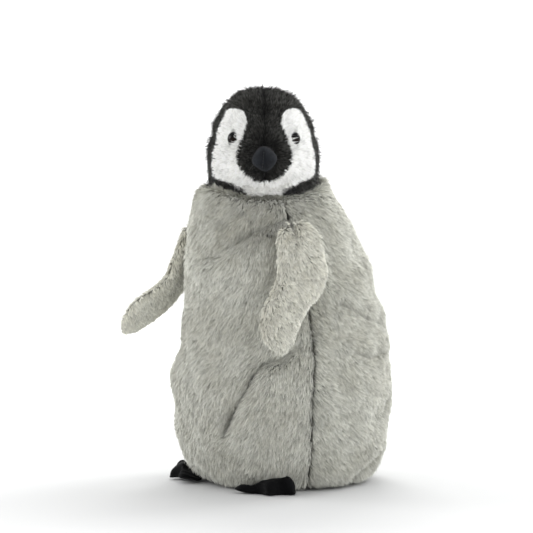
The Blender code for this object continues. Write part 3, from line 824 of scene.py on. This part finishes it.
def shape_the_beak(points, _):
    """Gives the beak its four soft corners, as the sewn suede has, and flattens its front."""
    across, out, up = on_the_face(points)
    up = up - (BEAK[2] - NECK[2])
    turn = np.arctan2(up, across)
    wide = 1.03 + 0.060 * np.cos(4 * (turn - math.radians(9))) + 0.03 * np.sin(turn)
    wide -= 0.05 * np.clip(-np.sin(turn), 0, 1) ** 2
    made = points + (wide - 1)[:, None] * (FACE_SIDE * across[:, None] + UP * up[:, None])
    made += FACE_BACK * (0.0006 * near(across, -0.0012, 0.0007))[:, None]
    return made - UP * BEAK_DROP


def sew_the_beak(beak):
    """A row of topstitches down the front, each a small bead of thread sunk into the suede."""
    stitches = []
    for count in range(STITCHES):
        drop = 0.0062 - count * STITCH_GAP - BEAK_DROP
        start = Vector(BEAK + FACE_SIDE * (-0.0012 - 0.0002 * count) + UP * drop - FACE_BACK * 0.05)
        found, place, normal, _ = beak.ray_cast(start, Vector(FACE_BACK))
        if not found:
            continue
        bpy.ops.mesh.primitive_uv_sphere_add(segments=12, ring_count=8, radius=STITCH_SIZE)
        stitch = bpy.context.object
        stitch.scale = (0.42, 1.0, 0.42)
        stitch.rotation_euler = normal.to_track_quat("Z", "Y").to_euler()
        stitch.location = place + normal * 0.00005
        stitches.append(stitch)
    only(*stitches)
    bpy.ops.object.join()
    seam = bpy.context.view_layer.objects.active
    bpy.ops.object.transform_apply(location=True, rotation=True, scale=True)
    seam.name = "beak_stitches"
    finish_piece(seam, BLACK_THREAD, "head")


def flipper_place(points, hand):
    """How far round the body from the hinge, how far down from it, and the way the flipper faces."""
    hinge = np.array(JOINTS[f"flipper_{hand}_lift"]["pos_m"])
    outward = unit(np.array([[hinge[0], hinge[1] + NECK_FORWARD * 0.5, 0.0]]))[0]
    away = points - hinge
    return away @ np.cross(UP, outward), -away[:, 2], outward


FLIPPER_DROP = 0.0100  # the right flipper hangs lower than the left, and its top lies further in
FLIPPER_TUCK = 0.0100
PLEAT_SLOPE = 0.2
PLEAT_START = 0.013
PLEAT_PLACE = 0.0003


def pleat_at(round_way, down):
    """Distance across the pleat at a flipper's shoulder."""
    return round_way - (down - PLEAT_START) * PLEAT_SLOPE - PLEAT_PLACE


def set_the_flipper(points, normals, hand):
    """Tucks a pleat in at the shoulder; the right flipper's top lies in against the body."""
    round_way, down, outward = flipper_place(points, hand)
    push = -0.0085 * near(pleat_at(round_way, down), 0, 0.0030) * near(down, 0.009, 0.009)
    push *= normals @ outward > 0
    made = points + normals * push[:, None]
    if hand == "right":
        made[:, 2] -= FLIPPER_DROP * np.clip(down / 0.03, 0, 1)
        tucked = 1 - np.clip((down - 0.02) / 0.05, 0, 1)
        made -= (outward * FLIPPER_TUCK)[None, :] * tucked[:, None]
    return made


FOOT_SPLAY = math.radians(41)
# how tall the felt piles up, from a foot's inner side to its outer side
FOOT_SIDES = (-1, -0.55, -0.15, 0.3, 0.6, 0.8, 0.95)
FOOT_HEIGHTS = (0.5, 0.62, 0.92, 1.14, 1.24, 1.05, 0.62)
RIGHT_FOOT_HEIGHT = 0.92


def shape_the_foot(points, _, outward):
    """Thins the inner toe and turns it up, piles the felt up at the outside, arches the sole."""
    middle = (points.min(axis=0) + points.max(axis=0)) / 2
    away = points - middle
    side = away @ np.array((outward * math.cos(FOOT_SPLAY), math.sin(FOOT_SPLAY), 0))
    along = away @ np.array((outward * math.sin(FOOT_SPLAY), -math.cos(FOOT_SPLAY), 0))
    share = side / np.abs(side).max()
    heel = np.clip(-along, 0, None)
    tall = np.interp(share, FOOT_SIDES, FOOT_HEIGHTS)
    made = points.copy()
    made[:, 2] *= tall if outward > 0 else np.minimum(tall, RIGHT_FOOT_HEIGHT)
    toes = np.clip(along / 0.02, 0, 1)
    made[:, 2] += 0.0030 * near(share, -1, 0.32) * np.clip(np.abs(side) / 0.03, 0, 1)
    if outward < 0:
        toe_way = np.array((-math.sin(FOOT_SPLAY), -math.cos(FOOT_SPLAY)))
        outer = np.clip((share - 0.15) / 0.5, 0, 1) * toes
        made[:, 2] += 0.0050 * outer - 0.0026 * outer * (points[:, 2] > 0.006)
        made[:, 2] += 0.0030 * near(along, 0.002, 0.010)
        made[:, :2] -= heel[:, None] * 0.8 * toe_way
        made[:, 2] *= np.clip(1 - heel / 0.05, 0.4, 1)
        made[:, :2] += outer[:, None] * 0.004 * toe_way
    made += 0.0005 * smooth_noise(points, 0.016, 12)[:, None] * (points[:, 2:] > 0.003)
    return made


BODY_NODES = ["belly_panel", "back_panel_left", "back_panel_right", "base_panel", "body_filling"]
HEAD_NODES = [
    part + side
    for part in ("crown", "head_back", "face_stripe", "cheek", "jowl")
    for side in ("_left", "_right")
] + ["head_filling"]

set_up_camera()
light_the_studio()

body_cover = stuffed("body_plush", BODY_NODES, 0.005, 0.0065, 0.004, body_seams)
reshape(body_cover, crease_the_body)
finish_piece(body_cover, GREY_COVER, "body")

head_cover = stuffed("head_plush", HEAD_NODES, 0.004, 0.0055, 0.0025)
reshape(head_cover, shape_the_head)
finish_piece(head_cover, BLACK_COVER, "head")
undyed = white_patch(points_of(head_cover.data)).astype(np.float32)
head_cover.data.attributes.new("undyed", "FLOAT", "POINT").data.foreach_set("value", undyed)

flipper_covers = {}
for hand in ("left", "right"):
    nodes = [f"flipper_outer_{hand}", f"flipper_inner_{hand}", f"flipper_filling_{hand}"]
    cover = stuffed(f"flipper_plush_{hand}", nodes, 0.0035, 0.0038, 0.002)
    reshape(cover, set_the_flipper, hand)
    finish_piece(cover, GREY_COVER, f"flipper_{hand}")
    flipper_covers[hand] = cover

for hand, outward in (("left", 1), ("right", -1)):
    nodes = [f"foot_upper_{hand}", f"foot_sole_{hand}", f"foot_filling_{hand}"]
    foot = stuffed(f"foot_felt_{hand}", nodes, 0.0022, 0.0008, 0.0012, smoothing=3)
    reshape(foot, shape_the_foot, outward)
    finish_piece(foot, FOOT_FELT, "body")

beak = stuffed("beak_suede", ["beak_left", "beak_right", "beak_filling"], 0.0013, 0.0004, 0.0006)
reshape(beak, shape_the_beak)
sew_the_beak(beak)
finish_piece(beak, BEAK_SUEDE, "head")

pouch = stuffed("pouch_calico", ["pellet_pouch"], 0.004, 0.002, 0.0015)
finish_piece(pouch, CALICO, "body")

for hand in ("left", "right"):
    for node, material in (("eye_", EYE_GLOSS), ("eye_washer_", WASHER_PLASTIC)):
        part = frame["nodes"][node + hand]
        part.data.materials.clear()
        part.data.materials.append(material)


# ---------------------------------------------------------------- pile
BODY_TUFTS = 1.9  # tufts to the square millimetre
HEAD_TUFTS = 2.9
FLIPPER_TUFTS = 2.6
TUFT_WIDTH = 0.00085
FINE_TUFT_WIDTH = 0.0008
BODY_HAIR = 0.0092
BLACK_HAIR = 0.0076
MUZZLE_HAIR = 0.0060
WHITE_HAIR = 0.0052
FLIPPER_HAIR = 0.0068
FLIPPER_TIP_TRIM = 0.0020
ROOT_DEPTH = 0.0008  # how far each root is sunk in its cover
FLOOR_GAP = 0.0003
DRAWN_IN = 0.28  # how far a lock's tips are drawn to its middle


def scatter(cover, per_square_mm, seed):
    """Random roots all over a cover, in equal numbers to the area, with the normals there."""
    rng = np.random.default_rng(seed)
    mesh = cover.data
    mesh.calc_loop_triangles()
    corners = np.empty(len(mesh.loop_triangles) * 3, np.int32)
    mesh.loop_triangles.foreach_get("vertices", corners)
    corners = corners.reshape(-1, 3)
    points, normals = points_of(mesh), normals_of(mesh)
    a, b, c = (points[corners[:, k]] for k in range(3))
    area = np.linalg.norm(np.cross(b - a, c - a), axis=1) / 2
    count = int(area.sum() * 1e6 * per_square_mm)
    chosen = np.searchsorted(np.cumsum(area) / area.sum(), np.sort(rng.random(count)))
    chosen = np.minimum(chosen, len(area) - 1)
    first = np.sqrt(rng.random(count))
    second = rng.random(count)
    weights = np.stack((1 - first, first * (1 - second), first * second), 1)
    roots = sum(points[corners[chosen, k]] * weights[:, k, None] for k in range(3))
    out = sum(normals[corners[chosen, k]] * weights[:, k, None] for k in range(3))
    return roots, unit(out)


def lock_of(points, size, seed):
    """Which lock each root belongs to: its middle, and a number from 0 to 1 that the lock shares."""
    jitter = smooth_noise(points, size * 2.5, seed)[:, None] * size * 0.5
    cell = np.floor((points + jitter) / size).astype(np.int64)
    mixed = (cell[:, 0] * 73856093) ^ (cell[:, 1] * 19349663) ^ (cell[:, 2] * 83492791) ^ seed
    mixed = (mixed * 2654435761) & 0xFFFFFFFF
    return (cell + 0.5) * size - jitter, (mixed >> 8) % 65536 / 65535


class Pile:
    """Tapered tufts of hair over one cover, to be divided into pieces. Each has a root, a bend and a
    tip, its lock's number, an odd number of its own, and a depth that dims or brightens it: painted
    shade in seams, folds and partings, painted highlight on the crown and flipper rims, and darker
    random locks on the chest."""

    def __init__(self, cover, per_square_mm, seed):
        self.rng = np.random.default_rng(seed + 1)
        self.seed = seed
        self.roots, self.out = scatter(cover, per_square_mm, seed)

    def comb(self, way, length, width=TUFT_WIDTH, lift=(46, 12), lock_size=0.0034, unruly=0.17):
        """Lays the tufts along the directions given, each lock drawn together at its tips."""
        count = len(self.roots)
        middle, shared = lock_of(self.roots, lock_size, self.seed)
        aside = np.cross(self.out, way)
        stray = self.rng.normal(size=(count, 1)) * unruly + (shared[:, None] - 0.5) * 0.30
        way = flat_on(way + aside * stray, self.out)
        rise = self.rng.normal(size=count) * 7 + (shared - 0.5) * 14
        first, second = (np.radians(np.clip(angle + rise, 4, 86))[:, None] for angle in lift)
        reach = length * self.rng.uniform(0.78, 1.15, count)
        low = unit(self.out * np.sin(first) + way * np.cos(first))
        high = unit(self.out * np.sin(second) + way * np.cos(second))
        inward = middle - self.roots
        inward -= self.out * np.sum(inward * self.out, axis=1, keepdims=True)
        self.bend = self.roots + low * reach[:, None] * 0.5 + inward * DRAWN_IN * 0.35
        self.tip = self.bend + high * reach[:, None] * 0.5 + inward * DRAWN_IN * 0.65
        twist = self.rng.uniform(-0.8, 0.8, (count, 1))
        across = unit(np.cross(way, self.out) * np.cos(twist) + self.out * np.sin(twist))
        self.half = across * (width * self.rng.uniform(0.7, 1.3, count) / 2)[:, None]
        self.lock = shared
        self.odd = self.rng.random(count)
        self.depth = np.ones(count)

    def piece(self, name, keep, body, slot, material):
        """Makes one mesh of the tufts kept: two faces each, with a map that gives each its place."""
        keep = np.nonzero(keep)[0]
        order = np.lexsort((round_the_body(self.roots[keep]), np.floor(self.roots[keep, 2] / 0.004)))
        keep = keep[order]
        count = len(keep)
        root = self.roots[keep] - self.out[keep] * ROOT_DEPTH
        half = self.half[keep]
        points = np.stack(
            (
                root - half,
                root + half,
                self.bend[keep] + half * 0.85,
                self.bend[keep] - half * 0.85,
                self.tip[keep],
            ),
            1,
        ).reshape(-1, 3)
        points[:, 2] = np.maximum(points[:, 2], FLOOR_GAP)
        first = np.arange(count)[:, None] * 5
        corners = np.concatenate((first + (0, 1, 2, 3), first + (3, 2, 4)), 1).ravel()
        mesh = bpy.data.meshes.new(name)
        mesh.vertices.add(len(points))
        mesh.vertices.foreach_set("co", points.astype(np.float32).ravel())
        mesh.loops.add(len(corners))
        mesh.loops.foreach_set("vertex_index", corners.astype(np.int32))
        starts = (np.arange(count)[:, None] * 7 + (0, 4)).ravel()
        mesh.polygons.add(len(starts))
        mesh.polygons.foreach_set("loop_start", starts.astype(np.int32))
        mesh.update(calc_edges=True)
        side = math.ceil(math.sqrt(count))
        cell = np.stack((np.arange(count) % side, np.arange(count) // side), 1)[:, None, :]
        within = np.array(
            ((0.15, 0.1), (0.85, 0.1), (0.8, 0.5), (0.2, 0.5), (0.2, 0.5), (0.8, 0.5), (0.5, 0.9))
        )
        layout = mesh.uv_layers.new(name="OFBake")
        layout.data.foreach_set("uv", ((cell + within) / side).astype(np.float32).ravel())
        hair = np.zeros((count, 5, 3), np.float32)
        hair[:, :, 0] = (0, 0, 0.55, 0.55, 1)
        hair[:, :, 1] = self.odd[keep][:, None]
        hair[:, :, 2] = self.lock[keep][:, None]
        mesh.attributes.new("hair", "FLOAT_VECTOR", "POINT").data.foreach_set("vector", hair.ravel())
        # depth carries painted shade and painted highlight to the material
        depth = np.repeat(self.depth[keep], 5).astype(np.float32)
        mesh.attributes.new("depth", "FLOAT", "POINT").data.foreach_set("value", depth)
        piece = bpy.data.objects.new(name, mesh)
        bpy.context.scene.collection.objects.link(piece)
        finish_piece(piece, material, body)

    def landed(self, share):
        """Where the tufts' middles lie, this share of the way from the roots to the tips."""
        return self.roots * (1 - share) + self.tip * share


def lay_body_pile():
    """Grey pile, combed down, out round the collar and away from the seams, darker in the seams,
    folds and parting as painted shade.
    """
    pile = Pile(body_cover, BODY_TUFTS, 21)
    place, out = pile.roots, pile.out
    angle, height = round_the_body(place), place[:, 2]
    swirl = smooth_noise(place, 0.050, 31) * 0.22
    belly = np.abs(angle) < SIDE_SEAM
    nap = np.where(belly, -0.42, np.where(angle > 0, 0.75, -0.75)) + swirl
    round_way = np.cross(UP, out)
    way = flat_on(-UP + round_way * nap[:, None], out)
    outward = flat_on((place - NECK) * (1, 1, 0), out)
    top = np.clip((out[:, 2] - 0.45) / 0.4, 0, 1)[:, None] * (height > 0.2)[:, None]
    way = flat_on(way * (1 - top) + outward * top, out)
    shaggy = near(height, 0.225, 0.025) * (np.abs(angle) < SIDE_SEAM) + near(height, 0.015, 0.02)
    shaggy += 0.5 * smooth_noise(place, 0.03, 33)
    length = BODY_HAIR + 0.0018 * np.clip(shaggy, -0.6, 1.2)
    length *= np.clip(0.45 + height / 0.02, 0.45, 1)
    seam = np.abs(np.abs(angle) - SIDE_SEAM) * girth_at(place)
    pile.comb(way, length)
    landed = pile.landed(0.55)
    fold, _ = along_a_crease(landed, BELLY_FOLD[:6])
    # painted shade: tufts dimmed in the side seams and in the belly, chest and back folds
    pile.depth -= 0.72 * near(seam, 0, 0.0011) * (height < 0.262)
    pile.depth -= 0.80 * near(fold, 0, 0.0013) * np.clip((0.134 - height) / 0.02, 0, 1)
    chest_fold, _ = along_a_crease(landed, CHEST_FOLD)
    pile.depth -= 0.22 * near(chest_fold, 0, 0.0022)
    for line in BACK_FOLDS:
        back_fold, _ = along_a_crease(landed, line)
        pile.depth -= 0.20 * near(back_fold, 0, 0.0020)
    chest = near(angle, math.radians(40), math.radians(32)) * near(height, 0.254, 0.020)
    pile.depth -= 0.80 * chest * pile.lock**1.6 * (0.6 + 0.4 * smooth_noise(place, 0.010, 35))
    # painted shade where the pile parts, varied by lock
    parted, _ = along_a_crease(landed, PARTED_PATCH)
    pile.depth -= 0.62 * near(parted, 0, 0.0042) * (0.35 + pile.lock * 0.65)
    pile.depth = np.clip(pile.depth, 0.16, 1.2)
    neck_gap = np.hypot(place[:, 0] - NECK[0], place[:, 1] - NECK[1])
    chin_side = np.clip(-(place - NECK) @ FACE_BACK / np.maximum(neck_gap, 1e-6), 0, 1)
    hidden = (neck_gap < 0.050 - 0.012 * chin_side) & (height > 0.25)
    shown = ~((out[:, 2] < -0.75) & (height < 0.008)) & ~hidden
    high = height > 0.130
    for name, where in (
        ("belly_pile_lower", belly & ~high),
        ("belly_pile_upper", belly & high),
        ("back_pile_left_lower", ~belly & (angle > 0) & ~high),
        ("back_pile_left_upper", ~belly & (angle > 0) & high),
        ("back_pile_right_lower", ~belly & (angle < 0) & ~high),
        ("back_pile_right_upper", ~belly & (angle < 0) & high),
    ):
        pile.piece(name, where & shown, "body", "grey_fur", GREY_PILE)


def lay_head_pile():
    """Black and white pile, combed away from the beak, parted by the centre seam and standing
    round the eyes. A tuft is white where it lands on the half masks."""
    pile = Pile(head_cover, HEAD_TUFTS, 51)
    place, out = pile.roots, pile.out
    across, forward, up = on_the_face(place)
    from_beak = flat_on(place - BEAK, out)
    down = flat_on(-UP, out)
    back = flat_on(FACE_BACK, out)
    front = np.clip(forward / 0.03, 0, 1)[:, None]
    low = np.clip((0.030 - up) / 0.03, 0, 1)[:, None] * 0.8
    way = flat_on(from_beak * front + down * low + (down * 0.6 + back * 0.6) * (1 - front), out)
    white = white_patch(place)
    beak_gap = np.hypot(across, place[:, 2] - BEAK[2])
    length = np.where(white, WHITE_HAIR, BLACK_HAIR)
    length = np.where(~white & (forward > 0.040), MUZZLE_HAIR, length)
    stray = pile.rng.random(len(place)) < np.where(white, 0.02, 0.045)
    length = length * np.where(stray, 1.45, 1.0)
    length *= np.clip((beak_gap - 0.004) / 0.012, 0.35, 1) * (forward > 0) + (forward <= 0)
    eye_gap = np.min([np.linalg.norm(place - seat, axis=1) for seat, _ in EYES.values()], axis=0)
    parting = np.exp(-np.abs(across) / 0.006) * np.sign(across) * (forward > 0)
    way = flat_on(way + FACE_SIDE * parting[:, None] * 0.9, out)
    standing = np.zeros(len(place))
    for seat, facing in EYES.values():
        aside = unit(np.cross(UP, facing)[None, :])[0]
        level, rise = (place - seat) @ aside, (place - seat) @ np.cross(facing, aside)
        beside = near(np.hypot(level, rise * 0.6), 0.0072, 0.0026) * (eye_gap < 0.014)
        way = flat_on(way - aside * (np.sign(level) * beside)[:, None] * 2.5, out)
        standing = np.maximum(standing, beside)
    length += 0.0024 * standing
    first = np.where(white, 54, 48) + 18 * standing + 14 * stray
    second = np.where(white, 22, 18) + 36 * standing + 20 * stray
    pile.comb(way, length, FINE_TUFT_WIDTH, (first, second), lock_size=0.0030, unruly=0.30)
    white = white_patch(pile.landed(0.65))
    # the black tufts' odd numbers are raised to a power, so only sparse strands are bright: painted
    # highlights
    pile.odd = np.where(white, pile.odd, pile.odd**3.5)
    face = (forward > 0) & ~white
    # painted shade along the face's centre seam and round the beak
    pile.depth -= 0.85 * near(across, 0, 0.0009) * face
    pile.depth -= 0.30 * near(across, 0, 0.0070) * face
    pile.depth -= 0.45 * near(beak_gap, 0.009, 0.007) * face
    # painted sheen: the black crown's upper flanks are brightened
    crown = near(np.abs(across), 0.034, 0.013) * np.clip((up - 0.066) / 0.014, 0, 1)
    pile.depth += 0.55 * crown * ~white
    pile.depth = np.clip(pile.depth, 0.12, 1.6)
    shown = (out[:, 2] > -0.72) | (up > 0.012) | ((out[:, 2] > -0.985) & (forward > 0.02))
    for seat, facing in EYES.values():
        away = place - seat
        off_centre = np.linalg.norm(away - np.outer(away @ facing, facing), axis=1)
        shown &= (off_centre > 0.0063) | (away @ facing < -0.02)
    shown &= ~((beak_gap < 0.009) & (forward > 0))
    pile.piece("white_pile_left", shown & white & (across > 0), "head", "white_fur", WHITE_PILE)
    pile.piece("white_pile_right", shown & white & (across < 0), "head", "white_fur", WHITE_PILE)
    pile.piece("face_pile_black", shown & ~white & (forward > 0.01), "head", "black_fur", BLACK_PILE)
    back_half = shown & ~white & (forward <= 0.01)
    pile.piece("crown_pile_left", back_half & (across > 0), "head", "black_fur", BLACK_PILE)
    pile.piece("crown_pile_right", back_half & (across <= 0), "head", "black_fur", BLACK_PILE)


def lay_flipper_pile(hand, seed):
    """Cream pile, combed down and back to the tip, with a painted highlight at the edges and painted
    shade in the pleat and along the shoulder.
    """
    pile = Pile(flipper_covers[hand], FLIPPER_TUFTS, seed)
    place, out = pile.roots, pile.out
    low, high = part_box(f"flipper_outer_{hand}")
    share = np.clip((high.z - place[:, 2]) / (high.z - low.z), 0, 1)
    back = np.array((0.0, 1.0, 0.0))
    flat = 1 - (out @ back) ** 2
    lean = (0.62 + 0.15 * smooth_noise(place, 0.04, seed + 3)) * flat
    way = flat_on(-UP + back * lean[:, None], out)
    length = FLIPPER_HAIR - FLIPPER_TIP_TRIM * share
    pile.comb(way, length, lift=(38, 10), lock_size=0.004, unruly=0.12)
    round_way, down, outward = flipper_place(pile.landed(0.55), hand)
    facing = out @ outward
    # painted highlight along the flipper's rims
    pile.depth += 0.24 * np.clip(1 - np.abs(facing) / 0.7, 0, 1)
    # painted shade in the pleat and along the top at the shoulder
    pleat = near(pleat_at(round_way, down), 0, 0.0013) * near(down, 0.009, 0.009)
    pile.depth -= 0.90 * pleat * (facing > 0)
    pile.depth -= 0.30 * near(down, -0.002, 0.005) * (facing > -0.3)
    pile.depth = np.clip(pile.depth, 0.10, 1.3)
    every = np.ones(len(place), bool)
    pile.piece(f"flipper_pile_{hand}", every, f"flipper_{hand}", "grey_fur", CREAM_PILE)


lay_body_pile()
lay_head_pile()
lay_flipper_pile("left", 71)
lay_flipper_pile("right", 72)


# ---------------------------------------------------------------- floor
FLOOR_SIZE = 14
# a painted contact shadow: the floor is darker near the toy
FLOOR_PAINTED_SHADOW = (0.53, 0.535, 0.535)
FLOOR_FAR = (0.95, 0.95, 0.95)

bpy.ops.object.select_all(action="DESELECT")
bpy.ops.mesh.primitive_plane_add(size=FLOOR_SIZE, location=(0, 0, 0))
floor = bpy.context.object
floor.name = "studio_floor"
paper = Finish("floor_paper_painted_shadow", Roughness=0.9)
distance = paper.node("ShaderNodeVectorMath", {"operation": "LENGTH"}, {0: paper.place})["Value"]
# the floor turns from the painted shadow near the toy to its own pale colour further out
far = distance.smooth(0.20, 0.85) * 0.9 + paper.noise(3, 2) * 0.1
paper.feed("Base Color", paper.blend(far, FLOOR_PAINTED_SHADOW, FLOOR_FAR))
floor.data.materials.append(paper.material)
